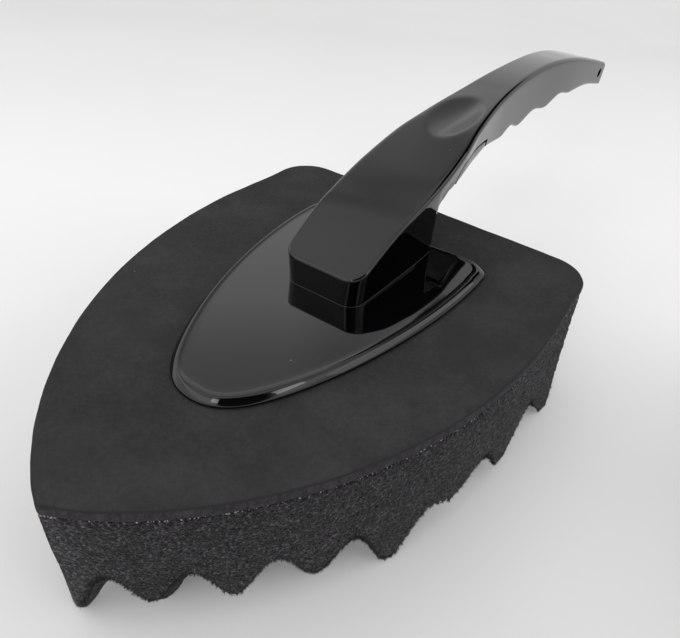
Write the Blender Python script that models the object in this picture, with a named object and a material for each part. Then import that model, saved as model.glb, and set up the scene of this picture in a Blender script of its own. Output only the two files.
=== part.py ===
# Hand sponge on a long curved handle. Metres, +Z up, standing on the crests of its foam.
# The nose of the foam points along -Y and the handle reaches out along +Y.

import math

import bmesh
import bpy
from mathutils import Matrix, Vector

GAP = 0.0003  # clear space between neighbouring pieces

# Foam: a pointed block with an egg-crate underside, and a smooth sheet glued on top of it
FOAM_LENGTH = 0.160
FOAM_WIDTH = 0.1228
FOAM_WIDEST_AT = 0.115
FOAM_BACK_WIDTH = 0.1194
FOAM_BACK_RADIUS = 0.0125
FOAM_HEIGHT = 0.0462
SHEET_THICKNESS = 0.0028
FILM_THICKNESS = 0.0003
CRATE_DEPTH = 0.0229  # from a valley down to the flat end of a crest
CRATE_PITCH_X = 0.0239
CRATE_PITCH_Y = 0.0303
CRATE_TURN = math.radians(-3.3)
CRATE_OFFSET = (0.0100, 0.0185)
CRATE_STEPS = 10  # faces in one pitch, each way
NOSE_LIFT = 0.0045  # the tip of the nose is trimmed short
NOSE_SPREAD = 0.0070
FOAM_TURN = math.radians(-1.10)  # the foam is glued on a little askew
FOAM_SHIFT = 0.0021

# Base plate on the foam
PLATE_NOSE = 0.0400  # behind the nose of the foam
PLATE_LENGTH = 0.0952
PLATE_WIDTH = 0.0663
PLATE_THICKNESS = 0.0023
PLATE_EDGE = 0.0009
PLATE_BEVEL = 0.0028
PLATE_BACK_RADIUS = 0.0030
PLATE_BACK_HOLLOW = 0.0035
PAD_THICKNESS = 0.0005
PAD_MARGIN = 0.0045

# Handle: a hollow shell with a foot, closed underneath by a long cover
FOOT_FRONT = 0.0894  # behind the nose of the foam
FOOT_LENGTH = 0.0407
FOOT_WIDTH = 0.0248
FOOT_CORNER = 0.0032
FOOT_FRONT_HEIGHT = 0.0114  # all handle heights are above the foam's top face
FOOT_TAPER = 0.0007
ARM_WIDTH = 0.0292
ARM_WIDEST_AT = 0.039  # all places along the handle are behind the front of its foot
WAIST_WIDTH = 0.0140
WAIST_AT = 0.134
END_WIDTH = 0.0184
HANDLE_LENGTH = 0.2236
CREST_HEIGHT = 0.0371
CREST_AT = 0.122
END_HEIGHT = 0.0200
END_DEPTH = 0.0108
NECK_HEIGHT = 0.0172  # underside just behind the foot
HOLLOW_HEIGHT = 0.0234  # underside where the arm is thinnest
HOLLOW_AT = 0.072
GRIP_START = 0.101
GRIP_HEIGHT = 0.0186
FIRST_GROOVE = 0.0196
GROOVE_PITCH = 0.0289
GROOVE_COUNT = 3
GROOVE_DEPTH = 0.0023
TOP_ROUND = 0.0018
LOW_ROUND = 0.0011
WALL = 0.0022

SEAM_START = 0.0505
SEAM_END = 0.0835
SEAM_RISE = 0.0025
SEAM_EASE = 0.0080
COVER_THICKNESS = 0.0019
COVER_INSET = 0.0004
COVER_RECESS = 0.0012
CHANNEL_END = 0.206

DISH_LENGTH = 0.031
DISH_WIDTH = 0.014
DISH_DEPTH = 0.0009
DISH_AT = 0.0755
HANG_HOLE = 0.0032
HANG_HOLE_AT = 0.2168

# Screws that hold the foot to the plate from below
SCREW_RADIUS = 0.0013
SCREW_HEAD_RADIUS = 0.0026
SCREW_HEAD_HEIGHT = 0.0011
SCREW_GRIP = 0.0048  # length inside the foot
SCREW_SLOT = 0.0007
POST_RADIUS = 0.0031
SCREW_FRONT_AT = 0.0100
SCREW_REAR_AT = 0.0325
SCREW_FRONT_SPACING = 0.0125
SCREW_REAR_SPACING = 0.0160

# Heights of the stack, from the crests of the foam up
FOAM_TOP = FOAM_HEIGHT
SHEET_BOTTOM = FOAM_TOP - SHEET_THICKNESS
FILM_BOTTOM = SHEET_BOTTOM - GAP - FILM_THICKNESS
BLOCK_TOP = FILM_BOTTOM - GAP
PLATE_BOTTOM = FOAM_TOP + GAP
PLATE_TOP = PLATE_BOTTOM + PLATE_THICKNESS
FOOT_BOTTOM = PLATE_TOP + GAP
REACH = 0.02  # how far a cutter runs past what it cuts


def clear_scene():
    for obj in list(bpy.data.objects):
        bpy.data.objects.remove(obj, do_unlink=True)


clear_scene()
part_collection = bpy.data.collections.new("sponge_with_handle")
cutter_collection = bpy.data.collections.new("cutters")
bpy.context.scene.collection.children.link(part_collection)
bpy.context.scene.collection.children.link(cutter_collection)


def material(name, colour, roughness, metallic=0.0):
    made = bpy.data.materials.new(name)
    made.use_nodes = True
    shader = made.node_tree.nodes["Principled BSDF"]
    shader.inputs["Base Color"].default_value = (*colour, 1.0)
    shader.inputs["Roughness"].default_value = roughness
    shader.inputs["Metallic"].default_value = metallic
    made.diffuse_color = (*colour, 1.0)
    return made


gloss_black = material("gloss_black", (0.012, 0.012, 0.013), 0.12)
smooth_foam = material("smooth_foam", (0.040, 0.040, 0.041), 0.95)
coarse_foam = material("coarse_foam", (0.030, 0.029, 0.031), 0.95)
glue = material("glue", (0.30, 0.29, 0.27), 0.6)
zinc = material("zinc", (0.55, 0.55, 0.56), 0.35, 1.0)


def add_object(name, mesh, look=None):
    obj = bpy.data.objects.new(name, mesh)
    if look is None:
        cutter_collection.objects.link(obj)
        obj.hide_render = True
        obj.display_type = "WIRE"
    else:
        part_collection.objects.link(obj)
        mesh.materials.append(look)
    return obj


def mesh_from(name, bm):
    bmesh.ops.recalc_face_normals(bm, faces=bm.faces)
    mesh = bpy.data.meshes.new(name)
    bm.to_mesh(mesh)
    bm.free()
    return mesh


def smooth_shaded(obj, angle=math.radians(35)):
    obj.data.shade_smooth()
    obj.data.set_sharp_from_angle(angle=angle)


def boolean(target, other, operation="DIFFERENCE"):
    cut = target.modifiers.new(f"{operation.lower()}_{other.name}", "BOOLEAN")
    cut.operation = operation
    cut.solver = "EXACT"
    if isinstance(other, bpy.types.Collection):
        cut.operand_type = "COLLECTION"
        cut.collection = other
    else:
        cut.object = other


def smooth_through(points, at):
    """Height of the smooth line through the points (along, height) at one place."""
    last = len(points) - 1
    at = min(max(at, points[0][0]), points[last][0])
    i = max(k for k in range(last) if points[k][0] <= at)

    def slope(k):
        low, high = points[max(k - 1, 0)], points[min(k + 1, last)]
        return (high[1] - low[1]) / (high[0] - low[0])

    (a, start), (b, end) = points[i], points[i + 1]
    span = b - a
    t = (at - a) / span
    return (
        (1 + 2 * t) * (1 - t) ** 2 * start
        + t * (1 - t) ** 2 * span * slope(i)
        + t * t * (3 - 2 * t) * end
        + t * t * (t - 1) * span * slope(i + 1)
    )


def outline_prism(name, points, low, high, look=None, resolution=9):
    """Flat outline through Bezier points, each (place, handle before, handle after), made a prism."""
    curve = bpy.data.curves.new(name, "CURVE")
    curve.dimensions = "2D"
    curve.fill_mode = "BOTH"
    curve.resolution_u = resolution
    curve.extrude = (high - low) / 2
    spline = curve.splines.new("BEZIER")
    spline.bezier_points.add(len(points) - 1)
    for knot, (place, before, after) in zip(spline.bezier_points, points):
        knot.handle_left_type = knot.handle_right_type = "FREE"
        knot.co = (*place, 0)
        knot.handle_left = (*before, 0)
        knot.handle_right = (*after, 0)
    spline.use_cyclic_u = True
    guide = bpy.data.objects.new(name + "_guide", curve)
    bpy.context.scene.collection.objects.link(guide)
    graph = bpy.context.evaluated_depsgraph_get()
    flat = bpy.data.meshes.new_from_object(guide.evaluated_get(graph))
    bpy.data.objects.remove(guide)
    bm = bmesh.new()
    bm.from_mesh(flat)
    bpy.data.meshes.remove(flat)
    bmesh.ops.remove_doubles(bm, verts=bm.verts, dist=0.00001)
    bmesh.ops.dissolve_limit(bm, angle_limit=0.001, verts=bm.verts, edges=bm.edges)
    bmesh.ops.translate(bm, verts=bm.verts, vec=(0, 0, (low + high) / 2))
    return add_object(name, mesh_from(name, bm), look)


def mirrored(half):
    """Both sides of an outline given from the nose round to the back on the +X side."""
    def flip(p):
        return (-p[0], p[1])

    other = [(flip(p), flip(after), flip(before)) for p, before, after in reversed(half)]
    return half + [knot for knot in other if abs(knot[0][0]) > 1e-6]


def corner(side_x, back_y, radius, lean=0.0):
    """The two knots of a rounded back corner, the second set back by lean."""
    pull = 0.5523 * radius
    return [
        (
            (side_x, back_y - radius),
            (side_x, back_y - 1.8 * radius),
            (side_x, back_y - radius + pull),
        ),
        (
            (side_x - radius, back_y),
            (side_x - radius + pull, back_y),
            (side_x - 1.8 * radius, back_y - lean),
        ),
    ]


def foam_outline(margin=0.0):
    half_width = FOAM_WIDTH / 2 - margin
    half_back = FOAM_BACK_WIDTH / 2 - margin
    back = FOAM_LENGTH - margin
    nose = ((0, margin), (-0.0159, 0.0062 + margin), (0.0159, 0.0062 + margin))
    side = (
        (half_width, FOAM_WIDEST_AT),
        (half_width, FOAM_WIDEST_AT - 0.072),
        (half_width, FOAM_WIDEST_AT + 0.010),
    )
    return mirrored([nose, side, *corner(half_back, back, FOAM_BACK_RADIUS)])


def plate_outline(margin=0.0):
    nose_y = PLATE_NOSE + margin
    half_width = PLATE_WIDTH / 2 - margin
    widest = PLATE_NOSE + 0.89 * PLATE_LENGTH
    back = PLATE_NOSE + PLATE_LENGTH - margin
    shoulder = Vector((0.0137 - 0.75 * margin, PLATE_NOSE + 0.0079 + 0.6 * margin))
    along = Vector((0.542, 0.840))
    knots = [
        ((0, nose_y), (-0.0046, nose_y), (0.0046, nose_y)),
        (tuple(shoulder), tuple(shoulder - 0.008 * along), tuple(shoulder + 0.020 * along)),
        ((half_width, widest), (half_width, widest - 0.029), (half_width, widest + 0.002)),
        *corner(half_width - 0.0004, back, PLATE_BACK_RADIUS, 0.0006),
    ]
    middle = back - PLATE_BACK_HOLLOW
    knots.append(((0, middle), (0.010, middle), (-0.010, middle)))
    return mirrored(knots)


# Foam


def crate_height(x, y):
    """Underside of the egg-crate foam above the flat ends of its crests."""
    turned = Vector((x, y))
    turned.rotate(Matrix.Rotation(-CRATE_TURN, 2))
    wave = math.cos(2 * math.pi * (turned.x - CRATE_OFFSET[0]) / CRATE_PITCH_X)
    wave *= math.cos(2 * math.pi * (turned.y - CRATE_OFFSET[1]) / CRATE_PITCH_Y)
    crest = math.cos(math.pi / CRATE_STEPS) ** 2
    nose = NOSE_LIFT * math.exp(-(x * x + y * y) / NOSE_SPREAD**2)
    return CRATE_DEPTH * (crest - wave) / (1 + crest) + nose


def make_foam_block():
    """Faces of the wave lie half a step off each crest, so every crest ends in one small flat."""
    step_x, step_y = CRATE_PITCH_X / CRATE_STEPS, CRATE_PITCH_Y / CRATE_STEPS
    first_x = CRATE_OFFSET[0] - step_x / 2
    first_y = CRATE_OFFSET[1] - step_y / 2
    across = FOAM_WIDTH / 2 + 2 * REACH
    low_x, high_x = math.floor(-across / step_x), math.ceil(across / step_x)
    low_y = math.floor(-2 * REACH / step_y)
    high_y = math.ceil((FOAM_LENGTH + 2 * REACH) / step_y)
    turn = Matrix.Rotation(CRATE_TURN, 3, "Z")
    bm = bmesh.new()
    bmesh.ops.create_grid(
        bm, x_segments=high_x - low_x, y_segments=high_y - low_y, size=0.5
    )
    size = Vector(((high_x - low_x) * step_x, (high_y - low_y) * step_y))
    start = Vector((first_x + low_x * step_x, first_y + low_y * step_y))
    for vert in bm.verts:
        place = Vector(
            (start.x + (vert.co.x + 0.5) * size.x, start.y + (vert.co.y + 0.5) * size.y, 0)
        )
        vert.co = turn @ place
        vert.co.z = crate_height(vert.co.x, vert.co.y)
    risen = bmesh.ops.extrude_face_region(bm, geom=bm.faces[:])
    for item in risen["geom"]:
        if isinstance(item, bmesh.types.BMVert):
            item.co.z = FOAM_HEIGHT + REACH
    slab = add_object("crate_slab", mesh_from("crate_slab", bm))
    block = outline_prism("foam_block", foam_outline(), -REACH, BLOCK_TOP, coarse_foam)
    boolean(block, slab, "INTERSECT")
    return block


def make_foam():
    block = make_foam_block()
    film = outline_prism(
        "laminating_film",
        foam_outline(GAP),
        FILM_BOTTOM,
        FILM_BOTTOM + FILM_THICKNESS,
        glue,
    )
    sheet = outline_prism(
        "foam_top_sheet", foam_outline(), SHEET_BOTTOM, FOAM_TOP, smooth_foam
    )
    return [block, film, sheet]


# Screws


def screw_places():
    for along, spacing in (
        (SCREW_FRONT_AT, SCREW_FRONT_SPACING),
        (SCREW_REAR_AT, SCREW_REAR_SPACING),
    ):
        for side in (-1, 1):
            yield side * spacing / 2, FOOT_FRONT + along


def turned_peg(name, radius, low, high, place, look=None, top_radius=None, segments=20):
    bm = bmesh.new()
    bmesh.ops.create_cone(
        bm,
        cap_ends=True,
        segments=segments,
        radius1=radius,
        radius2=radius if top_radius is None else top_radius,
        depth=high - low,
    )
    bmesh.ops.translate(bm, verts=bm.verts, vec=(*place, (low + high) / 2))
    return add_object(name, mesh_from(name, bm), look)


HEAD_BOTTOM = PLATE_BOTTOM + PAD_THICKNESS + GAP


def make_screw(name, place):
    screw = turned_peg(
        name,
        SCREW_HEAD_RADIUS,
        HEAD_BOTTOM,
        HEAD_BOTTOM + SCREW_HEAD_HEIGHT,
        place,
        zinc,
        SCREW_RADIUS,
    )
    shank = turned_peg(
        name + "_shank",
        SCREW_RADIUS,
        HEAD_BOTTOM + SCREW_HEAD_HEIGHT / 2,
        FOOT_BOTTOM + SCREW_GRIP,
        place,
        segments=16,
    )
    boolean(screw, shank, "UNION")
    for turn in (0, math.pi / 2):
        bm = bmesh.new()
        bmesh.ops.create_cube(bm, size=1)
        slot = (SCREW_HEAD_RADIUS * 1.1, SCREW_SLOT, SCREW_HEAD_HEIGHT)
        bmesh.ops.scale(bm, verts=bm.verts, vec=slot)
        bmesh.ops.rotate(bm, verts=bm.verts, matrix=Matrix.Rotation(turn, 3, "Z"))
        bmesh.ops.translate(bm, verts=bm.verts, vec=(*place, HEAD_BOTTOM))
        boolean(screw, add_object(f"{name}_slot_{turn:.0f}", mesh_from("slot", bm)))
    smooth_shaded(screw)
    return screw


# Base plate


def make_plate():
    plate = outline_prism(
        "base_plate", plate_outline(), PLATE_BOTTOM, PLATE_BOTTOM + PLATE_EDGE, gloss_black
    )
    bm = bmesh.new()
    bm.from_mesh(plate.data)
    top = [face for face in bm.faces if face.normal.z > 0.9]
    bmesh.ops.inset_region(
        bm,
        faces=top,
        thickness=PLATE_BEVEL,
        depth=PLATE_THICKNESS - PLATE_EDGE,
        use_even_offset=True,
    )
    bm.to_mesh(plate.data)
    bm.free()
    recess = outline_prism(
        "pad_recess",
        plate_outline(PAD_MARGIN - GAP),
        PLATE_BOTTOM - REACH,
        PLATE_BOTTOM + PAD_THICKNESS + GAP,
    )
    boolean(plate, recess)
    for i, place in enumerate(screw_places()):
        sink = turned_peg(
            f"sink_{i}",
            SCREW_HEAD_RADIUS + 2 * GAP,
            HEAD_BOTTOM - GAP,
            HEAD_BOTTOM + SCREW_HEAD_HEIGHT,
            place,
            top_radius=SCREW_RADIUS + 2 * GAP,
        )
        through = turned_peg(
            f"through_{i}",
            SCREW_RADIUS + 1.5 * GAP,
            HEAD_BOTTOM - GAP,
            PLATE_TOP + REACH,
            place,
        )
        boolean(plate, sink)
        boolean(plate, through)
    pad = outline_prism(
        "plate_bond_pad",
        plate_outline(PAD_MARGIN),
        PLATE_BOTTOM,
        PLATE_BOTTOM + PAD_THICKNESS,
        glue,
    )
    return [plate, pad]


# Handle


def half_width(along):
    grow = (ARM_WIDTH - WAIST_WIDTH) / 2
    waist = WAIST_WIDTH / 2
    return smooth_through(
        [
            (0, FOOT_WIDTH / 2),
            (ARM_WIDEST_AT / 2, (FOOT_WIDTH + 2 * ARM_WIDTH) / 6),
            (ARM_WIDEST_AT, ARM_WIDTH / 2),
            (ARM_WIDEST_AT + 0.019, waist + 0.84 * grow),
            (ARM_WIDEST_AT + 0.033, waist + 0.54 * grow),
            (ARM_WIDEST_AT + 0.059, waist + 0.15 * grow),
            (WAIST_AT, waist),
            ((WAIST_AT + HANDLE_LENGTH) / 2, 0.5 * waist + END_WIDTH / 4),
            (HANDLE_LENGTH, END_WIDTH / 2),
        ],
        along,
    )


def top_height(along):
    rise = CREST_HEIGHT - FOOT_FRONT_HEIGHT
    fall = CREST_HEIGHT - END_HEIGHT
    tail = HANDLE_LENGTH - CREST_AT
    line = [(0, 0.0), (0.14, 0.31), (0.245, 0.455), (0.36, 0.60), (0.58, 0.84), (0.80, 0.965)]
    points = [(share * CREST_AT, FOOT_FRONT_HEIGHT + up * rise) for share, up in line]
    points.append((CREST_AT, CREST_HEIGHT))
    drop = [(0.28, 0.08), (0.54, 0.31), (0.81, 0.69), (1.0, 1.0)]
    points += [(CREST_AT + share * tail, CREST_HEIGHT - down * fall) for share, down in drop]
    return FOAM_TOP + smooth_through(points, along)


GRIP_END = GRIP_START + FIRST_GROOVE + (GROOVE_COUNT - 1) * GROOVE_PITCH


def groove_rise(along):
    start = GRIP_START
    for i in range(GROOVE_COUNT):
        length = GROOVE_PITCH if i else FIRST_GROOVE
        if start <= along < start + length:
            return GROOVE_DEPTH * math.sin(math.pi * (along - start) / length) ** 2
        start += length
    return 0.0


def under_height(along):
    low_end = END_HEIGHT - END_DEPTH
    points = [
        (FOOT_LENGTH, NECK_HEIGHT),
        (FOOT_LENGTH + 0.0025, NECK_HEIGHT + 0.55 * (HOLLOW_HEIGHT - NECK_HEIGHT)),
        (FOOT_LENGTH + 0.0095, NECK_HEIGHT + 0.80 * (HOLLOW_HEIGHT - NECK_HEIGHT)),
        (HOLLOW_AT, HOLLOW_HEIGHT),
        (GRIP_START, GRIP_HEIGHT + 0.0006),
        (GRIP_START + FIRST_GROOVE, GRIP_HEIGHT - 0.0008),
        (GRIP_END, GRIP_HEIGHT - 0.0024),
        ((GRIP_END + HANDLE_LENGTH) / 2, (GRIP_HEIGHT + low_end) / 2 + 0.0004),
        (HANDLE_LENGTH, low_end),
    ]
    return FOAM_TOP + smooth_through(points, along)


def lower_edge(along):
    """Lower edge of the shell: raised over the cover between the neck and the grip."""
    if not SEAM_START <= along <= SEAM_END:
        return under_height(along) + groove_rise(along)
    ease = min((along - SEAM_START) / SEAM_EASE, 1.0)
    return under_height(along) + SEAM_RISE * ease * ease * (3 - 2 * ease)


def section(half, low, high, top_round, low_round, taper=0.0, steps=3):
    """Rounded oblong across the handle, narrower by taper at its lower side."""
    top_round = min(top_round, 0.45 * (high - low), 0.45 * half)
    low_round = min(low_round, 0.45 * (high - low), 0.45 * half)
    corners = [
        (half - taper - low_round, low + low_round, low_round, -90),
        (half - top_round, high - top_round, top_round, 0),
        (-half + top_round, high - top_round, top_round, 90),
        (-half + taper + low_round, low + low_round, low_round, 180),
    ]
    for x, z, radius, start in corners:
        for i in range(steps + 1):
            angle = math.radians(start + 90 * i / steps)
            yield x + radius * math.cos(angle), z + radius * math.sin(angle)


def loft(name, rings, look=None):
    """Closed body through rings of equal count, each (place along the handle, points across)."""
    bm = bmesh.new()
    made = [
        [bm.verts.new((x, FOOT_FRONT + along, z)) for x, z in ring] for along, ring in rings
    ]
    count = len(made[0])
    for near, far in zip(made, made[1:]):
        for i in range(count):
            j = (i + 1) % count
            bm.faces.new((near[i], near[j], far[j], far[i]))
    bm.faces.new(made[0][::-1])
    bm.faces.new(made[-1])
    return add_object(name, mesh_from(name, bm), look)


def spread(start, end, count):
    return [start + (end - start) * i / count for i in range(count + 1)]


def rounded_start(along, radius):
    """How much a corner of this radius still takes off at a place behind the front."""
    if along >= radius:
        return 0.0
    return radius - math.sqrt(radius**2 - (radius - along) ** 2)


def shell_ring(along):
    half = half_width(along) - rounded_start(along, FOOT_CORNER)
    half -= rounded_start(HANDLE_LENGTH - along, TOP_ROUND / 2)
    high = top_height(along) - rounded_start(along, TOP_ROUND)
    high -= rounded_start(HANDLE_LENGTH - along, TOP_ROUND / 2)
    on_foot = along <= FOOT_LENGTH
    low = FOOT_BOTTOM if on_foot else lower_edge(along)
    taper = FOOT_TAPER if on_foot else FOOT_TAPER / 2
    return along, list(section(half, low, high, TOP_ROUND, 0.0002 if on_foot else LOW_ROUND, taper))


def shell_places():
    arc = [FOOT_CORNER * (1 - math.cos(math.radians(a))) for a in (0, 22, 45, 68, 90)]
    neck = [FOOT_LENGTH, FOOT_LENGTH + 0.0004, FOOT_LENGTH + 0.0014, FOOT_LENGTH + 0.0035]
    places = arc + spread(FOOT_CORNER + 0.004, FOOT_LENGTH - 0.003, 6) + neck
    places += spread(FOOT_LENGTH + 0.0065, SEAM_START - 0.0004, 1)
    places += spread(SEAM_START, SEAM_START + SEAM_EASE, 4)
    places += spread(SEAM_START + SEAM_EASE + 0.004, SEAM_END, 4)
    places += spread(SEAM_END + 0.0003, GRIP_START - 0.003, 4)
    start = GRIP_START
    for i in range(GROOVE_COUNT):
        length = GROOVE_PITCH if i else FIRST_GROOVE
        places += spread(start, start + length, 8)[:-1]
        start += length
    places += spread(GRIP_END, HANDLE_LENGTH - TOP_ROUND / 2, 8)
    places += [HANDLE_LENGTH - TOP_ROUND / 2 * s for s in (0.6, 0.25, 0.0)]
    return sorted(places)


def cavity_ring(along, low, roof):
    half = half_width(along) - WALL - FOOT_TAPER
    high = top_height(along) - roof
    return along, list(section(half, low, high, TOP_ROUND / 2, 0.0001, 0.0, 2))


def make_shell():
    shell = loft("handle_shell", [shell_ring(a) for a in shell_places()], gloss_black)
    foot_places = spread(WALL + 0.001, FOOT_LENGTH - WALL, 8)
    foot_cavity = loft(
        "foot_cavity", [cavity_ring(a, FOOT_BOTTOM - REACH, WALL) for a in foot_places]
    )
    boolean(shell, foot_cavity)
    channel = loft(
        "channel",
        [
            cavity_ring(a, FOAM_TOP - REACH, WALL)
            for a in spread(SEAM_START - GAP, CHANNEL_END, 30)
        ],
    )
    boolean(shell, channel)
    for i, place in enumerate(screw_places()):
        roof = top_height(place[1] - FOOT_FRONT - POST_RADIUS) - WALL / 2
        post = turned_peg(f"post_{i}", POST_RADIUS, FOOT_BOTTOM, roof, place)
        boolean(shell, post, "UNION")
    for i, place in enumerate(screw_places()):
        hole = turned_peg(
            f"screw_hole_{i}",
            SCREW_RADIUS + GAP,
            FOOT_BOTTOM - REACH,
            FOOT_BOTTOM + SCREW_GRIP + 2 * GAP,
            place,
            segments=16,
        )
        boolean(shell, hole)
    boolean(shell, make_dish())
    boolean(shell, make_hang_hole())
    smooth_shaded(shell)
    return shell


def make_dish():
    """Thumb dish: the lower cap of a flattened ball."""
    tall = 6 * DISH_DEPTH
    raise_by = tall - DISH_DEPTH
    share = math.sqrt(1 - (raise_by / tall) ** 2)
    bm = bmesh.new()
    bmesh.ops.create_uvsphere(bm, u_segments=28, v_segments=28, radius=1)
    scale = (DISH_WIDTH / 2 / share, DISH_LENGTH / 2 / share, tall)
    bmesh.ops.scale(bm, verts=bm.verts, vec=scale)
    rise = top_height(DISH_AT + 0.005) - top_height(DISH_AT - 0.005)
    tilt = Matrix.Rotation(math.atan2(rise, 0.010), 3, "X")
    bmesh.ops.rotate(bm, verts=bm.verts, matrix=tilt)
    centre = (0, FOOT_FRONT + DISH_AT, top_height(DISH_AT) + raise_by)
    bmesh.ops.translate(bm, verts=bm.verts, vec=centre)
    return add_object("thumb_dish", mesh_from("thumb_dish", bm))


def make_hang_hole():
    bm = bmesh.new()
    bmesh.ops.create_cone(
        bm,
        cap_ends=True,
        segments=20,
        radius1=HANG_HOLE / 2,
        radius2=HANG_HOLE / 2,
        depth=END_WIDTH + REACH,
    )
    bmesh.ops.rotate(bm, verts=bm.verts, matrix=Matrix.Rotation(math.pi / 2, 3, "Y"))
    middle = (top_height(HANG_HOLE_AT) + under_height(HANG_HOLE_AT)) / 2
    bmesh.ops.translate(bm, verts=bm.verts, vec=(0, FOOT_FRONT + HANG_HOLE_AT, middle))
    return add_object("hang_hole", mesh_from("hang_hole", bm))


def cover_ring(along, wide):
    if wide:
        half = half_width(along) - FOOT_TAPER / 2 - COVER_INSET
        low, high = under_height(along), lower_edge(along) - GAP
    else:
        half = half_width(along) - WALL - FOOT_TAPER - GAP
        low = lower_edge(along) + COVER_RECESS
        high = low + COVER_THICKNESS
    return along, list(section(half, low, high, 0.0004, 0.0004, 0.0, 2))


def make_cover():
    """Wide under the arm, then sunk between the walls of the grip."""
    wide_start = SEAM_START + 0.4 * SEAM_EASE
    wide_end = SEAM_END - GAP
    rings = [cover_ring(a, True) for a in spread(wide_start, wide_end, 9)]
    between_walls = half_width(wide_end) - WALL - FOOT_TAPER - GAP
    low, high = under_height(wide_end), lower_edge(wide_end) - GAP
    narrow = list(section(between_walls, low, high, 0.0004, 0.0004, 0.0, 2))
    rings.append((wide_end + GAP / 3, narrow))
    rings.append(cover_ring(SEAM_END + GAP, False))
    rings += [cover_ring(a, False) for a in spread(SEAM_END + 0.003, GRIP_START - 0.003, 3)]
    start = GRIP_START
    for i in range(GROOVE_COUNT):
        length = GROOVE_PITCH if i else FIRST_GROOVE
        rings += [cover_ring(a, False) for a in spread(start, start + length, 6)[:-1]]
        start += length
    rings += [cover_ring(a, False) for a in spread(GRIP_END, CHANNEL_END - GAP, 5)]
    cover = loft("handle_underside_cover", rings, gloss_black)
    smooth_shaded(cover)
    return cover


def place_parts(foam, rest):
    """The foam turns under the plate, and everything moves so the origin is under the middle."""
    root = bpy.data.objects.new("sponge_with_handle_origin", None)
    turned = bpy.data.objects.new("foam_group", None)
    for empty in (root, turned):
        part_collection.objects.link(empty)
    turned.parent = root
    pivot = Vector((0, FOAM_LENGTH / 2, 0))
    turned.location = pivot - Vector((FOAM_SHIFT, 0, 0)) - Matrix.Rotation(FOAM_TURN, 3, "Z") @ pivot
    turned.rotation_euler.z = FOAM_TURN
    for obj in foam:
        obj.parent = turned
    for obj in rest:
        obj.parent = root
    for obj in cutter_collection.objects:
        obj.parent = turned if obj.name == "crate_slab" else root
    bpy.context.view_layer.update()
    graph = bpy.context.evaluated_depsgraph_get()
    corners = []
    for obj in foam + rest:
        evaluated = obj.evaluated_get(graph)
        corners += [evaluated.matrix_world @ v.co for v in evaluated.data.vertices]
    low = Vector([min(c[i] for c in corners) for i in range(3)])
    high = Vector([max(c[i] for c in corners) for i in range(3)])
    root.location = (-(low.x + high.x) / 2, -(low.y + high.y) / 2, -low.z)
    print("overall size", [round(s, 5) for s in high - low], "moved by", root.location[:])


foam_parts = make_foam()
hard_parts = make_plate() + [make_shell(), make_cover()]
hard_parts += [make_screw(f"foot_screw_{i + 1}", p) for i, p in enumerate(screw_places())]
place_parts(foam_parts, hard_parts)
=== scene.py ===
import math
import random

import bpy
import numpy as np
from mathutils import Matrix, Vector, noise
from mathutils.kdtree import KDTree


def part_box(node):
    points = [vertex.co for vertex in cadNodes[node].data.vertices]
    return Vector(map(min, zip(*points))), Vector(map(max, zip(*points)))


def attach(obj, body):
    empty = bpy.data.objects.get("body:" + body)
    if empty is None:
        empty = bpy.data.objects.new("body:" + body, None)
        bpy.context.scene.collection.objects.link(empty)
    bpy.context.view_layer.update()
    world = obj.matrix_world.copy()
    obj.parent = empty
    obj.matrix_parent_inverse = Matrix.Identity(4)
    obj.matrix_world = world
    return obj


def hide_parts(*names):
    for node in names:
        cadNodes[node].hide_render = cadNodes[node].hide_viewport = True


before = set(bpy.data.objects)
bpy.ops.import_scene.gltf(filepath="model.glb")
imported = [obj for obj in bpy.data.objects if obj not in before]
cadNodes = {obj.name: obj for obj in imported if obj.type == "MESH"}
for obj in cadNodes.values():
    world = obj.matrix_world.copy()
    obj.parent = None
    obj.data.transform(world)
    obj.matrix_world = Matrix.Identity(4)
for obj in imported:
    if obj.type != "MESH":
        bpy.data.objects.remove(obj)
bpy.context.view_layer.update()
print("frame loaded with", len(cadNodes), "nodes")


# everyday helpers for objects and modifiers

def onlySelect(obj):
    bpy.ops.object.select_all(action="DESELECT")
    obj.select_set(True)
    bpy.context.view_layer.objects.active = obj


def named(name):
    obj = bpy.context.object
    obj.name = name
    obj.data.name = name
    return obj


def useModifier(obj, kind, **settings):
    onlySelect(obj)
    modifier = obj.modifiers.new(kind.title(), kind)
    for key, value in settings.items():
        setattr(modifier, key, value)
    bpy.ops.object.modifier_apply(modifier=modifier.name)


def editMesh(obj):
    onlySelect(obj)
    bpy.ops.object.mode_set(mode="EDIT")
    bpy.ops.mesh.select_all(action="SELECT")


def leaveEdit():
    # every face looks outward on the way out
    bpy.ops.mesh.select_all(action="SELECT")
    bpy.ops.mesh.normals_make_consistent(inside=False)
    bpy.ops.object.mode_set(mode="OBJECT")


def smoothByAngle(obj, degrees):
    onlySelect(obj)
    bpy.ops.object.shade_smooth_by_angle(angle=math.radians(degrees))


def coat(obj, material):
    obj.data.materials.clear()
    obj.data.materials.append(material)


def getPoints(obj, kind="co"):
    values = np.empty(len(obj.data.vertices) * 3, np.float32)
    obj.data.vertices.foreach_get(kind, values)
    return values.reshape(-1, 3).astype(float)


def setPoints(obj, points):
    obj.data.vertices.foreach_set("co", np.asarray(points, np.float32).ravel())
    obj.data.update()


def joinInto(target, others):
    onlySelect(target)
    for other in others:
        other.select_set(True)
    bpy.ops.object.join()


# curves and profiles that several pieces share

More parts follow.
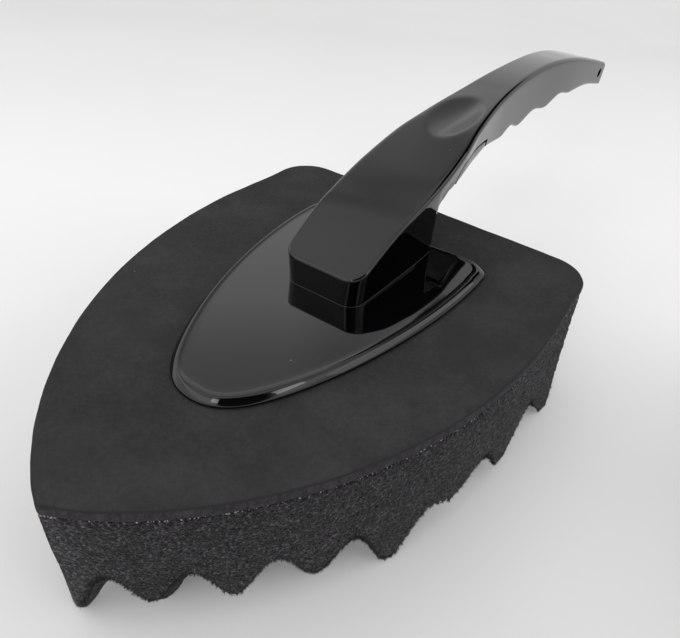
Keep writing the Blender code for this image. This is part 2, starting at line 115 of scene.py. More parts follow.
def smoothThrough(points, at):
    last = len(points) - 1
    at = min(max(at, points[0][0]), points[last][0])
    i = max(k for k in range(last) if points[k][0] <= at)

    def slope(k):
        low, high = points[max(k - 1, 0)], points[min(k + 1, last)]
        return (high[1] - low[1]) / (high[0] - low[0])

    (a, start), (b, end) = points[i], points[i + 1]
    span = b - a
    t = (at - a) / span
    return (
        (1 + 2 * t) * (1 - t) ** 2 * start
        + t * (1 - t) ** 2 * span * slope(i)
        + t * t * (3 - 2 * t) * end
        + t * t * (t - 1) * span * slope(i + 1)
    )


def easeStep(t):
    t = min(max(t, 0.0), 1.0)
    return t * t * (3 - 2 * t)


def mirroredKnots(half):
    # a knot is its place, the handle before it and the handle after it
    def flip(p):
        return (-p[0], p[1])

    other = [(flip(p), flip(after), flip(before)) for p, before, after in reversed(half)]
    return half + [knot for knot in other if abs(knot[0][0]) > 1e-6]


def roundedCorner(sideX, backY, radius, lean=0.0):
    # short handles make the quarter circle, long ones lead softly away from it
    pull, away = 0.5523 * radius, 1.8 * radius
    return [
        ((sideX, backY - radius), (sideX, backY - away), (sideX, backY - radius + pull)),
        ((sideX - radius, backY), (sideX - radius + pull, backY), (sideX - away, backY - lean)),
    ]


def alongKnots(knots, steps):
    places = []
    for (a, _, leave), (b, arrive, _) in zip(knots, knots[1:] + knots[:1]):
        a, leave, arrive, b = (Vector(p) for p in (a, leave, arrive, b))
        for i in range(steps):
            t = i / steps
            place = a * (1 - t) ** 3 + leave * 3 * t * (1 - t) ** 2
            places.append(place + arrive * 3 * t * t * (1 - t) + b * t**3)
    return places


# where plate, handle and foam sit

layout = {
    "plateNose": 0.0400,
    "footFront": 0.0894,
    "foamTop": 0.0462,
    "foamPivotY": 0.080,
    "foamTurn": -1.10,
    "foamShift": 0.0021,
}

plateLow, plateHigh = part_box("base_plate")
origin = Vector(((plateLow.x + plateHigh.x) / 2, plateLow.y - layout["plateNose"], 0))
foamPlace = (
    Matrix.Translation(origin - Vector((layout["foamShift"], 0, 0)))
    @ Matrix.Translation((0, layout["foamPivotY"], 0))
    @ Matrix.Rotation(math.radians(layout["foamTurn"]), 4, "Z")
    @ Matrix.Translation((0, -layout["foamPivotY"], 0))
)


def settle(piece, degrees, material):
    # plate and handle are drawn round the middle of the plate
    piece.data.transform(Matrix.Translation(origin))
    smoothByAngle(piece, degrees)
    coat(piece, material)


def ringSolid(name, rings):
    # a grid whose rows become the rings, closed round and capped at both ends
    rows, columns = len(rings), len(rings[0])
    bpy.ops.object.select_all(action="DESELECT")
    bpy.ops.mesh.primitive_grid_add(x_subdivisions=columns, y_subdivisions=rows - 1, size=2)
    obj = named(name)
    points = getPoints(obj)
    table = np.array([list(ring) + [ring[0]] for ring in rings], float)
    column = np.rint((points[:, 0] + 1) / 2 * columns).astype(int)
    row = np.rint((points[:, 1] + 1) / 2 * (rows - 1)).astype(int)
    setPoints(obj, table[row, column])
    editMesh(obj)
    bpy.ops.mesh.remove_doubles(threshold=1e-7)
    bpy.ops.mesh.fill_holes(sides=0)
    leaveEdit()
    return obj


def outlineBlock(name, outline, low, high):
    # a filled circle takes the outline and is pulled up to its height
    bpy.ops.object.select_all(action="DESELECT")
    bpy.ops.mesh.primitive_circle_add(vertices=len(outline), radius=0.05, fill_type="NGON")
    obj = named(name)
    for vertex in obj.data.vertices:
        place = outline[vertex.index]
        vertex.co = (place.x, place.y, low)
    editMesh(obj)
    bpy.ops.mesh.extrude_region_move(TRANSFORM_OT_translate={"value": (0, 0, high - low)})
    leaveEdit()
    return obj


def turnedPin(name, profile, centre, axis, segments):
    # a round body of rings, profile holds (place along the axis, radius)
    rings = []
    for at, radius in profile:
        ring = []
        for k in range(segments):
            angle = 2 * math.pi * k / segments
            a, b = radius * math.cos(angle), radius * math.sin(angle)
            spot = (a, b, at) if axis == "Z" else (at, a, b)
            ring.append(tuple(Vector(spot) + Vector(centre)))
        rings.append(ring)
    return ringSolid(name, rings)


def cutAway(target, cutter):
    useModifier(target, "BOOLEAN", operation="DIFFERENCE", solver="EXACT", object=cutter)
    bpy.data.objects.remove(cutter, do_unlink=True)


print("helpers ready")


# shader maths

class Wire:
    def __init__(self, recipe, socket):
        self.recipe = recipe
        self.socket = socket

    def maths(self, operation, *values):
        inputs = dict(enumerate(values))
        return self.recipe.add("Math", {"operation": operation}, inputs)

    def __add__(self, other):
        return self.maths("ADD", self, other)

    __radd__ = __add__

    def __sub__(self, other):
        return self.maths("SUBTRACT", self, other)

    def __rsub__(self, other):
        return self.maths("SUBTRACT", other, self)

    def __mul__(self, other):
        return self.maths("MULTIPLY", self, other)

    __rmul__ = __mul__

    def __gt__(self, other):
        return self.maths("GREATER_THAN", self, other)

    def __lt__(self, other):
        return self.maths("LESS_THAN", self, other)


class Nodes:
    def __init__(self, tree):
        self.tree = tree
        self.tree.nodes.clear()

    def add(self, kind, settings=None, inputs=None, output=0):
        node = self.tree.nodes.new("ShaderNode" + kind)
        for key, value in (settings or {}).items():
            if key == "stops":
                self.setStops(node.color_ramp, value)
            else:
                setattr(node, key, value)
        for key, value in (inputs or {}).items():
            self.plug(value, node.inputs[key])
        return Wire(self, node.outputs[output]) if node.outputs else None

    def setStops(self, ramp, stops):
        while len(ramp.elements) < len(stops):
            ramp.elements.new(0.5)
        for element, (at, value) in zip(ramp.elements, stops):
            element.position = at
            element.color = value if isinstance(value, tuple) else (value, value, value, 1)

    def plug(self, value, socket):
        if isinstance(value, Wire):
            self.tree.links.new(value.socket, socket)
        else:
            socket.default_value = value

    def noise(self, size, detail, rough, place=None, warp=0.0):
        inputs = {"Vector": place or self.place, "Scale": 1 / size, "Detail": detail}
        inputs |= {"Roughness": rough, "Distortion": warp}
        return self.add("TexNoise", {}, inputs)

    def cells(self, size, output="Distance"):
        return self.add("TexVoronoi", {}, {"Vector": self.place, "Scale": 1 / size}, output)

    def motes(self, size, core, edge, share):
        # round specks in a chosen share of the cells
        speck = self.between(self.cells(size), core, edge, 1.0, 0.0)
        pick = self.add("SeparateColor", {}, {0: self.cells(size, "Color")}, 0)
        return speck * (pick > 1 - share)

    def dot(self, place, way):
        return self.add("VectorMath", {"operation": "DOT_PRODUCT"}, {0: place, 1: way}, "Value")

    def stretched(self, scale, turn=(0, 0, 0)):
        return self.add("Mapping", {}, {"Vector": self.place, "Scale": scale, "Rotation": turn})

    def between(self, value, low, high, toLow=0.0, toHigh=1.0):
        inputs = {"Value": value, "From Min": low, "From Max": high}
        inputs |= {"To Min": toLow, "To Max": toHigh}
        return self.add("MapRange", {"interpolation_type": "SMOOTHSTEP"}, inputs)

    def blend(self, factor, a, b):
        return self.add("Mix", {"data_type": "RGBA"}, {0: factor, 6: a, 7: b}, 2)

    def bump(self, height, strength, distance, normal=None):
        inputs = {"Strength": strength, "Distance": distance, "Height": height}
        if normal:
            inputs["Normal"] = normal
        return self.add("Bump", {}, inputs)


class Recipe(Nodes):
    def __init__(self, name, **sockets):
        self.material = bpy.data.materials.new(name)
        self.material.use_nodes = True
        super().__init__(self.material.node_tree)
        output = self.tree.nodes.new("ShaderNodeOutputMaterial")
        self.shader = self.tree.nodes.new("ShaderNodeBsdfPrincipled")
        self.tree.links.new(self.shader.outputs[0], output.inputs[0])
        for key, value in sockets.items():
            self.shader.inputs[key.replace("_", " ")].default_value = value
        self.place = self.add("TexCoord", output="Object")

    def feed(self, **links):
        for key, value in links.items():
            self.plug(value, self.shader.inputs[key.replace("_", " ")])
        return self.material


def grey(value, tint=(0, 0, 0)):
    return (value + tint[0], value + tint[1], value + tint[2], 1)


glossLook = {
    "colour": (0.0013, 0.0013, 0.0017, 1),
    "dustColour": 0.30,
    "roughness": 0.035,
    "smudge": 0.045,
    "smudgeSize": 0.022,
    "hairSize": 0.00045,
    "hairDrag": (1, 0.05, 1),
    "hairTurn": (0, 0, 0.5),
    "moteSize": 0.0032,
    "moteShare": 0.05,
    "ripple": 0.03,
    "rippleSize": 0.013,
}


def glossPlastic(name, dust):
    # deep black moulding, faint handling marks and a few hairlines
    look = glossLook
    recipe = Recipe(name, Roughness=look["roughness"], IOR=1.46)
    smudge = recipe.between(recipe.noise(look["smudgeSize"], 4, 0.6), 0.45, 0.75)
    dragged = recipe.stretched(look["hairDrag"], look["hairTurn"])
    hairs = recipe.between(recipe.noise(look["hairSize"], 2, 0.5, dragged), 0.70, 0.78)
    mote = recipe.motes(look["moteSize"], 0.030, 0.050, look["moteShare"] * dust)
    colour = recipe.blend(mote * 0.8, look["colour"], grey(look["dustColour"]))
    rough = smudge * look["smudge"] + hairs * 0.05 + mote * 0.5 + look["roughness"]
    normal = recipe.bump(recipe.noise(look["rippleSize"], 1, 0.4), look["ripple"], 0.00012)
    normal = recipe.bump(hairs, 0.02, 0.00001, normal)
    return recipe.feed(Base_Color=colour, Roughness=rough, Normal=normal)


sheetLook = {
    "top": (0.0195, 0.0193, 0.0198, 1),
    "pale": (0.0375, 0.0372, 0.0378, 1),
    "crease": (0.022, 0.0215, 0.0225, 1),
    "sideDark": (0.0175, 0.0161, 0.0184, 1),
    "sidePale": (0.0500, 0.0466, 0.0512, 1),
    "fleck": (0.26, 0.26, 0.25, 1),
    "fleckSize": 0.0070,
    "fleckShare": 0.07,
    "cloudSize": 0.024,
    "grainSize": 0.0012,
    "poreSize": 0.00055,
    "fibreSize": 0.0011,
}


def sheetFoam(name, top):
    # clouded matte top, a crease along its edge and a fibrous cut side
    look = sheetLook
    recipe = Recipe(name, Roughness=0.9, IOR=1.4, Specular_IOR_Level=0.22, Sheen_Weight=0.02)
    cloud = recipe.between(recipe.noise(look["cloudSize"], 5, 0.66), 0.36, 0.66)
    grain = recipe.noise(look["grainSize"], 4, 0.7)
    pores = recipe.between(recipe.cells(look["poreSize"]), 0.15, 0.55)
    tone = cloud * 0.55 + recipe.between(grain, 0.32, 0.68) * 0.45
    topColour = recipe.blend(tone, look["top"], look["pale"])
    fibre = recipe.noise(look["fibreSize"], 4, 0.75, recipe.stretched((1, 1, 0.45)))
    threads = recipe.between(fibre, 0.30, 0.70)
    sideColour = recipe.blend(threads, look["sideDark"], look["sidePale"])
    up = recipe.add("SeparateXYZ", {}, {0: recipe.place}, "Z")
    atCrease = recipe.between(up, top - 0.0007, top - 0.0003)
    atTop = recipe.between(up, top - 0.00022, top - 0.00006)
    colour = recipe.blend(atCrease, sideColour, look["crease"])
    colour = recipe.blend(atTop, colour, topColour)
    fleck = recipe.motes(look["fleckSize"], 0.020, 0.045, look["fleckShare"])
    colour = recipe.blend(fleck * 0.6, colour, look["fleck"])
    normal = recipe.bump(pores * 0.5 + grain, 0.45, 0.00014)
    return recipe.feed(Base_Color=colour, Normal=normal)


cellLook = {
    "stops": [
        (0.22, (0.0060, 0.0056, 0.0062, 1)),
        (0.46, (0.0230, 0.0218, 0.0236, 1)),
        (0.64, (0.0560, 0.0530, 0.0570, 1)),
        (0.84, (0.1500, 0.1430, 0.1520, 1)),
    ],
    "threadSize": 0.00072,
    "cellSize": 0.00085,
    "clumpSize": 0.0011,
    "contrast": 2.10,
    "clumps": 0.75,
    "level": 0.143,
    # painted shade in the pores, for the larger and the fine cells
    "shadedPits": 0.22,
    "fine": 0.10,
    "fineSize": 0.00045,
    "patch": 0.05,
    "patchSize": 0.008,
    # painted light: how much paler the walls are painted near the nose
    "noseGlow": 0.07,
    "noseSpan": (0.002, 0.011),
}


def openFoam(name):
    # open cells: paler, broken threads of the foam's own speckle, and painted shade darkening the
    # pits inside the cells
    look = cellLook
    recipe = Recipe(name, Roughness=0.95, IOR=1.4, Specular_IOR_Level=0.2, Sheen_Weight=0.07)
    threads = recipe.noise(look["threadSize"], 4, 0.80, warp=0.15)
    clumps = recipe.noise(look["clumpSize"], 3, 0.7)
    # painted shade: the centres of the cells, large and fine, are painted darker as shade inside
    # the pores; the same pattern also gives the bump
    shadedPits = recipe.between(recipe.cells(look["cellSize"]), 0.12, 0.50)
    fine = recipe.between(recipe.cells(look["fineSize"]), 0.10, 0.60)
    patch = recipe.between(recipe.noise(look["patchSize"], 3, 0.6), 0.35, 0.65)
    # painted light: the walls are painted paler towards the nose
    nose = foamPlace @ Vector((0, 0, 0))
    flatPlace = recipe.stretched((1, 1, 0))
    toNose = recipe.add("VectorMath", {"operation": "DISTANCE"}, {0: flatPlace, 1: nose}, "Value")
    paintedNoseLight = recipe.between(toNose, *look["noseSpan"], look["noseGlow"], 0.0)
    amount = (threads - 0.5) * look["contrast"] + (clumps - 0.5) * look["clumps"]
    amount = amount + shadedPits * look["shadedPits"] + fine * look["fine"] + patch * look["patch"]
    amount = amount + paintedNoseLight + look["level"]
    colour = recipe.add("ValToRGB", {"stops": look["stops"]}, {0: amount})
    normal = recipe.bump(threads + shadedPits * 0.7, 0.9, 0.00035)
    return recipe.feed(Base_Color=colour, Normal=normal)


def driedGlue(name, colour):
    recipe = Recipe(name, Roughness=0.45, IOR=1.47)
    lumps = recipe.noise(0.0009, 3, 0.6)
    dark, pale = grey(colour * 0.75), grey(min(colour * 1.3, 1.0), (0.0, -0.005, -0.02))
    tone = recipe.blend(lumps, dark, pale)
    normal = recipe.bump(lumps, 0.5, 0.0002)
    rough = recipe.between(lumps, 0.3, 0.7, 0.35, 0.6)
    return recipe.feed(Base_Color=tone, Roughness=rough, Normal=normal)


def zincPlate(name):
    recipe = Recipe(name, Roughness=0.32, Metallic=1.0)
    clouds = recipe.noise(0.0012, 3, 0.6)
    turned = recipe.noise(0.00012, 2, 0.5, recipe.stretched((1, 1, 0.1)))
    tone = recipe.blend(clouds, (0.50, 0.50, 0.52, 1), (0.62, 0.61, 0.58, 1))
    rough = recipe.between(clouds, 0.3, 0.7, 0.25, 0.42)
    return recipe.feed(Base_Color=tone, Roughness=rough, Normal=recipe.bump(turned, 0.2, 0.00005))


print("materials ready")


# camera, at the place and lens fitted to the photograph

view = {
    "place": (0.0864150, -0.1890163, 0.1589158),
    "right": (0.8176486, 0.5724978, 0.0608027),
    "down": (0.3981384, -0.4859976, -0.7780052),
    "forward": (-0.4158563, 0.6603428, -0.6253086),
    "lens": 34.4118,
    "shiftY": 0.00148,
}

bpy.ops.object.camera_add(location=view["place"])
camera = bpy.context.object
camera.name = "photoCamera"
axes = (Vector(view["right"]), -Vector(view["down"]), -Vector(view["forward"]))
turn = Matrix([[axis[i] for axis in axes] for i in range(3)]).to_4x4()
camera.matrix_world = Matrix.Translation(view["place"]) @ turn
camera.data.sensor_width = 36
camera.data.lens = view["lens"]
camera.data.shift_y = view["shiftY"]
camera.data.clip_start = 0.001
bpy.context.scene.camera = camera
bpy.context.scene.view_settings.view_transform = "Standard"


# floor, world and soft lamps

studio = {
    "towardsBack": (-0.533, 0.846, 0),
    "towardsRight": (0.846, 0.533, 0),
    "floorStart": 0.206,
    "floorStops": [
        # (distance towards the back, colour); the colour carries painted light, brightest at
        # middle distance and darker towards the front and the back
        (0.05, 0.71), (0.12, 0.77), (0.19, 0.83), (0.29, 0.85), (0.40, 0.78), (0.60, 0.675),
    ],
    "floorGlow": 0.20,
    "mottleSize": 0.11,
    # painted shade: how much darker the floor is painted near the right front
    "rightPaintedShade": 0.37,
    "rightSpan": (0.02, 0.14),
    "frontSpan": (0.11, 0.23),
    "skyStops": [
        # (upward part of the direction, brightness)
        (0.00, 0.86), (0.42, 0.92), (0.47, 1.15), (0.51, 1.50), (0.60, 1.56), (0.665, 1.16),
        (0.72, 1.00), (0.755, 0.94), (0.785, 0.74), (0.84, 1.12), (0.885, 1.15), (1.00, 0.95),
    ],
    "backGain": 1.42,
    "backSpan": (-0.30, 0.45),
    "darkSides": [
        # (direction, cosines where it starts and is full, light left)
        ((0.551, -0.532, 0.643), 0.865, 0.925, 0.02),
        ((0.299, 0.741, 0.602), 0.930, 0.965, 0.02),
        ((-0.205, 0.714, 0.669), 0.955, 0.985, 0.70),
    ],
    "lamps": {
        # place, width and height, brightness of its face
        "sideLamp": ((1.20, 0.69, 0.70), (1.30, 0.45), 1.05),
        "lampRight": ((1.185, -0.177, 1.060), (0.27, 0.27), 3.6),
        "lampLeft": ((0.197, -1.245, 0.985), (0.30, 0.30), 4.0),
    },
    "lampAim": (0, -0.05, 0.05),
}

bpy.ops.object.select_all(action="DESELECT")
bpy.ops.mesh.primitive_plane_add(size=8, location=(0, 0, 0))
floor = named("paleFloor")
recipe = Recipe("paleFloorFinish", Roughness=0.8, Specular_IOR_Level=0.15)
reach = recipe.dot(recipe.place, studio["towardsBack"]) + studio["floorStart"]
# painted light: the ramp paints the floor's light falloff into its colour
shade = recipe.add(
    "ValToRGB",
    {"stops": [(at, grey(value, (0, -0.004, -0.006))) for at, value in studio["floorStops"]]},
    {0: reach},
)
# painted shade: the floor is painted darker near the right front
across = recipe.dot(recipe.place, studio["towardsRight"])
nearFront = 1 - recipe.between(reach, *studio["frontSpan"])
nearRight = recipe.between(across, *studio["rightSpan"]) * nearFront
shade = recipe.blend(nearRight * studio["rightPaintedShade"], shade, grey(0.0))
mottle = recipe.noise(studio["mottleSize"], 3, 0.6)
paper = recipe.blend(recipe.between(mottle, 0.3, 0.7) * 0.05, shade, grey(1.0))
seen = recipe.add("LightPath", output="Is Camera Ray")
seen = seen + recipe.add("LightPath", output="Is Glossy Ray")
seen = seen + recipe.add("LightPath", output="Is Transmission Ray")
fibres = recipe.noise(0.0015, 3, 0.6)
base = recipe.blend(studio["floorGlow"], paper, grey(0.0))
emitted, normal = seen * studio["floorGlow"], recipe.bump(fibres, 0.1, 0.0002)
recipe.feed(Base_Color=base, Emission_Color=paper, Emission_Strength=emitted, Normal=normal)
coat(floor, recipe.material)

world = bpy.data.worlds.new("softStudio")
bpy.context.scene.world = world
world.use_nodes = True
sky = Nodes(world.node_tree)
direction = sky.add("TexCoord", output="Generated")
up = sky.add("SeparateXYZ", {}, {0: direction}, "Z")
# the ramp holds half the brightness and the strength doubles it again
halfStops = [(at, value / 2) for at, value in studio["skyStops"]]
dome = sky.add("ValToRGB", {"stops": halfStops}, {0: up})
forward = sky.add("SeparateXYZ", {}, {0: direction}, "Y")
gain = sky.between(forward, *studio["backSpan"], studio["backGain"], 1.0)
for side, starts, full, left in studio["darkSides"]:
    gain = gain * sky.between(sky.dot(direction, side), starts, full, 1.0, left)
glow = sky.add("Background", {}, {"Color": dome, "Strength": gain * 2.0})
sky.add("OutputWorld", {}, {"Surface": glow})

for name, (place, (width, height), brightness) in studio["lamps"].items():
    bpy.ops.object.light_add(type="AREA", location=place)
    lamp = bpy.context.object
    lamp.name = name
    lamp.data.shape = "RECTANGLE"
    lamp.data.size = width
    lamp.data.size_y = height
    lamp.data.energy = brightness * math.pi * width * height
    away = Vector(place) - Vector(studio["lampAim"])
    lamp.rotation_euler = away.to_track_quat("Z", "Y").to_euler()
print("camera and studio ready")


# foam: block with the egg-crate underside, smooth sheet, and the glue between them

foam = {
    "length": 0.160,
    "width": 0.1228,
    "noseHandle": (0.0159, 0.0062),
    "sideHandles": (0.072, 0.010),
    "widestAt": 0.115,
    "backWidth": 0.1194,
    "backRadius": 0.0125,
    "coarseVoxel": 0.0011,
    "voxel": 0.00068,
    "blockTop": 0.04290,
    "crateDepth": 0.0350,
    "sag": 0.0022,
    "sagAt": 0.028,
    "sagSpread": 0.015,
    "crateWave": 0.0117,
    "crateOffset": (0.0100, 0.0185),
    "cratePitch": (0.0239, 0.0303),
    "crateTurn": 3.3,
    "crestSharpness": 1.12,
    "noseLift": 0.0045,
    "noseSpread": 0.0017,
    "flankLift": 0.0024,
    "flankAt": (0.0033, 0.0030),
    "flankSpread": 0.0030,
    "cornerDrop": 0.0160,
    "cornerAt": (0.0600, 0.1415),
    "cornerSpread": (0.0090, 0.0080),
    "cornerFlare": 0.0026,
    "flareHeight": 0.036,
    "noseLean": (0.0013, 0.0008),
    "leanSpread": 0.0022,
    "leanFrom": 0.031,
    "leanOver": 0.024,
    "poreSize": 0.00085,
    "poreDepth": 0.00040,
    "poreLevel": 0.36,
    "smoothNose": 0.010,
    "smoothReach": 0.020,
    "outlineSteps": 40,
    "edgeSteps": 60,
    "edgeFrom": 0.045,
}

torn = {
    "count": 36000,
    "length": (0.0004, 0.0010),
    "radius": (0.00004, 0.00009),
    "wallBand": 0.0016,
    "edgeBand": 0.0014,
    "edgeShare": 2.0,
    "wallShare": 0.02,
    "crateShare": 0.01,
    "bareNose": 0.0045,
    "bareTop": 0.001,
    "outward": 0.7,
    "scatter": 0.55,
    "droop": 0.7,
    "rootDepth": 0.00015,
}


def foamOutline(margin=0.0):
    half = foam["width"] / 2 - margin
    halfBack = foam["backWidth"] / 2 - margin
    back = foam["length"] - margin
    at = foam["widestAt"]
    (wide, inward), (ahead, behind) = foam["noseHandle"], foam["sideHandles"]
    nose = ((0, margin), (-wide, inward + margin), (wide, inward + margin))
    side = ((half, at), (half, at - ahead), (half, at + behind))
    return mirroredKnots([nose, side, *roundedCorner(halfBack, back, foam["backRadius"])])


def crateHeight(x, y):
    # where the egg-crate underside lies, crests cut flat at the floor
    turn = math.radians(foam["crateTurn"])
    across = np.cos(turn) * x - np.sin(turn) * y
    along = np.sin(turn) * x + np.cos(turn) * y
    wave = np.cos(2 * math.pi * (across - foam["crateOffset"][0]) / foam["cratePitch"][0])
    wave = wave * np.cos(2 * math.pi * (along - foam["crateOffset"][1]) / foam["cratePitch"][1])
    wave = 2 * np.clip((wave + 1) / 2, 0, 1) ** foam["crestSharpness"] - 1
    nose = foam["noseLift"] * np.exp(-(x * x + y * y) / foam["noseSpread"] ** 2)
    flankX, flankY = foam["flankAt"]
    toFlank = (x - flankX) ** 2 + (y - flankY) ** 2
    nose += foam["flankLift"] * np.exp(-toFlank / foam["flankSpread"] ** 2)
    sag = foam["sag"] * np.exp(-(((y - foam["sagAt"]) / foam["sagSpread"]) ** 2))
    sag += foam["cornerDrop"] * nearCorner(x, y)
    low = layout["foamTop"] - foam["crateDepth"] - foam["crateWave"] * wave + nose - sag
    return np.maximum(low, 0.0)


def nearCorner(x, y):
    # the back right corner hangs lower and stands out a little
    (atX, atY), (spreadX, spreadY) = foam["cornerAt"], foam["cornerSpread"]
    return np.exp(-(((x - atX) / spreadX) ** 2) - ((y - atY) / spreadY) ** 2)


def edgeDistance(points):
    # how far inside the outline each point stands, found near the edge only
    outline = np.array([tuple(p) for p in alongKnots(foamOutline(), foam["edgeSteps"])])
    tree = KDTree(len(outline))
    for i, (x, y) in enumerate(outline):
        tree.insert((x, y, 0), i)
    tree.balance()
    reach = np.hypot(*(points[:, :2] - outline.mean(axis=0)).T)
    distance = np.full(len(points), 1.0)
    for i in np.nonzero(reach > foam["edgeFrom"])[0]:
        distance[i] = tree.find((points[i, 0], points[i, 1], 0))[2]
    return distance


def addStrands(block):
    # short torn threads, by far the most along the lower edges of the cut walls
    dice = np.random.default_rng(11)
    points, normals = getPoints(block), getPoints(block, "normal")
    above = points[:, 2] - crateHeight(points[:, 0], points[:, 1])
    onWall = edgeDistance(points) < torn["wallBand"]
    weight = np.where(onWall, torn["wallShare"], torn["crateShare"])
    weight = weight + np.where(onWall & (above < torn["edgeBand"]), torn["edgeShare"], 0.0)
    toNose = points[:, 0] ** 2 + points[:, 1] ** 2
    weight *= 1 - 0.9 * np.exp(-toNose / torn["bareNose"] ** 2)
    weight[points[:, 2] > foam["blockTop"] - torn["bareTop"]] = 0
    picked = dice.choice(len(points), torn["count"], p=weight / weight.sum())
    base, facing = points[picked], normals[picked]
    edge = np.clip(1 - above[picked] / torn["wallBand"], 0, 1)[:, None]
    way = facing * torn["outward"] + dice.normal(0, torn["scatter"], base.shape)
    way = way + edge * np.array([0, 0, -torn["droop"]])
    way /= np.linalg.norm(way, axis=1)[:, None]
    length = dice.uniform(*torn["length"], len(base))[:, None] * (0.55 + 0.45 * edge)
    radius = dice.uniform(*torn["radius"], len(base))[:, None]
    side = np.cross(way, dice.normal(0, 1, base.shape))
    side /= np.linalg.norm(side, axis=1)[:, None]
    other = np.cross(way, side)
    root = base - way * torn["rootDepth"]
    corners = []
    for angle in (0.0, 2.094, 4.189):
        corners.append(root + radius * (side * math.cos(angle) + other * math.sin(angle)))
    tip = base + way * length
    bpy.ops.object.select_all(action="DESELECT")
    bpy.ops.mesh.primitive_cone_add(vertices=3, radius1=0.0001, radius2=0, depth=0.001)
    strands = named("tornStrands")
    order = np.argsort([vertex.co.z for vertex in strands.data.vertices], kind="stable")
    useModifier(strands, "ARRAY", count=len(base), use_relative_offset=False)
    table = np.empty((len(base), 4, 3))
    for index, places in zip(order, [*corners, tip]):
        table[:, index] = places
    table[:, :, 2] = np.maximum(table[:, :, 2], 0.0)
    setPoints(strands, table.reshape(-1, 3))
    joinInto(block, [strands])


def makeFoamBlock():
    top = foam["blockTop"]
    outline = alongKnots(foamOutline(), foam["outlineSteps"])
    block = outlineBlock("foamBlock", outline, 0.0, top)
    useModifier(block, "REMESH", mode="VOXEL", voxel_size=foam["coarseVoxel"])
    points = getPoints(block)
    low = crateHeight(points[:, 0], points[:, 1])
    points[:, 2] = top - (top - points[:, 2]) * (top - low) / top
    setPoints(block, points)
    useModifier(block, "REMESH", mode="VOXEL", voxel_size=foam["voxel"])
    points = getPoints(block)
    toNose = points[:, 0] ** 2 + points[:, 1] ** 2
    below = np.clip((foam["leanFrom"] - points[:, 2]) / foam["leanOver"], 0, 1)
    lean = below * np.exp(-toNose / foam["leanSpread"] ** 2)
    points[:, :2] += lean[:, None] * np.array(foam["noseLean"])
    low = np.clip(1 - points[:, 2] / foam["flareHeight"], 0, 1)
    flare = nearCorner(points[:, 0], points[:, 1]) * low
    points[:, 0] += foam["cornerFlare"] * flare
    setPoints(block, points)
    rough = block.vertex_groups.new(name="rough")
    rough.add(list(range(len(points))), 1.0, "REPLACE")
    for i in np.nonzero(toNose < foam["smoothReach"] ** 2)[0]:
        rough.add([int(i)], 1 - 0.8 * math.exp(-toNose[i] / foam["smoothNose"] ** 2), "REPLACE")
    pores = bpy.data.textures.new("grain", "CLOUDS")
    pores.noise_scale = foam["poreSize"]
    pores.noise_depth = 2
    pores.noise_type = "HARD_NOISE"
    useModifier(
        block, "DISPLACE", texture=pores, texture_coords="LOCAL", vertex_group="rough",
        strength=foam["poreDepth"] * 2, mid_level=foam["poreLevel"],
    )
    points = getPoints(block)
    points[:, 2] = np.clip(points[:, 2], 0.0, top)
    setPoints(block, points)
    block.vertex_groups.clear()
    addStrands(block)
    block.data.transform(foamPlace)
    onlySelect(block)
    bpy.ops.object.shade_smooth()
    coat(block, openFoam("openCellFoam"))
    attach(block, "root")
    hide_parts("foam_block")
    print("foam block", len(block.data.polygons), "faces")


sheet = {
    "low": 0.04305,
    "centre": (0, 0.095),
    "rim": [
        # (margin, height below the top)
        (0.00120, None), (0.00020, None), (0.00004, 0.00270), (0.00000, 0.00230),
        (0.00000, 0.00170), (0.00000, 0.00110), (0.00004, 0.00070), (0.00016, 0.00036),
        (0.00040, 0.00014), (0.00075, 0.00003), (0.00130, 0.0), (0.00220, 0.0), (0.00350, 0.0),
    ],
    "steps": 52,
    "inward": 34,
    "edgeWander": 0.00013,
    "wanderSize": 0.005,
    "waveSize": 0.026,
    "smallWave": 0.009,
    "waveDepth": 0.00016,
}


def makeFoamSheet():
    centre = Vector(sheet["centre"])
    size = sheet["wanderSize"]
    rings = []
    for margin, drop in sheet["rim"]:
        ring = []
        for p in alongKnots(foamOutline(margin), sheet["steps"]):
            away = (p - centre).normalized()
            wander = sheet["edgeWander"] * noise.noise((p.x / size, p.y / size, margin * 900))
            p = p + away * wander
            z = sheet["low"] if drop is None else layout["foamTop"] - drop
            ring.append((p.x, p.y, z))
        rings.append(ring)
    last = rings[-1]
    for k in range(1, sheet["inward"]):
        s = 1 - k / sheet["inward"]
        ring = []
        for x, y, z in last:
            ring.append((centre.x + (x - centre.x) * s, centre.y + (y - centre.y) * s, z))
        rings.append(ring)
    piece = ringSolid("foamTopSheet", rings)
    for vertex in piece.data.vertices:
        x, y, z = vertex.co
        if z > sheet["low"] + 0.001:
            wave = noise.noise((x / sheet["waveSize"], y / sheet["waveSize"], 0.3))
            wave += 0.4 * noise.noise((x / sheet["smallWave"], y / sheet["smallWave"], 4.1))
            vertex.co.z = z + sheet["waveDepth"] * (wave - 0.6)
    piece.data.transform(foamPlace)
    smoothByAngle(piece, 60)
    coat(piece, sheetFoam("smoothSheetFoam", layout["foamTop"]))
    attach(piece, "root")
    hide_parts("foam_top_sheet")
    print("foam sheet", len(piece.data.polygons), "faces")


film = {
    "low": 0.04280,
    "high": 0.04312,
    "inset": 0.0010,
    "steps": 100,
    "clusters": [
        # (share of the right side from the nose, spread, beads)
        (0.005, 0.004, 4), (0.045, 0.020, 12), (0.300, 0.025, 10), (0.345, 0.012, 6),
        (0.440, 0.030, 10), (0.600, 0.050, 16), (0.780, 0.040, 12), (0.900, 0.030, 8),
    ],
    "strays": 46,
    "beadRadius": (0.00007, 0.00017),
    "beadHeight": 0.04300,
    "beadSpread": 0.00010,
    "beadWide": (0.8, 1.5),
    "beadTall": (0.6, 1.0),
    "colour": 0.32,
}


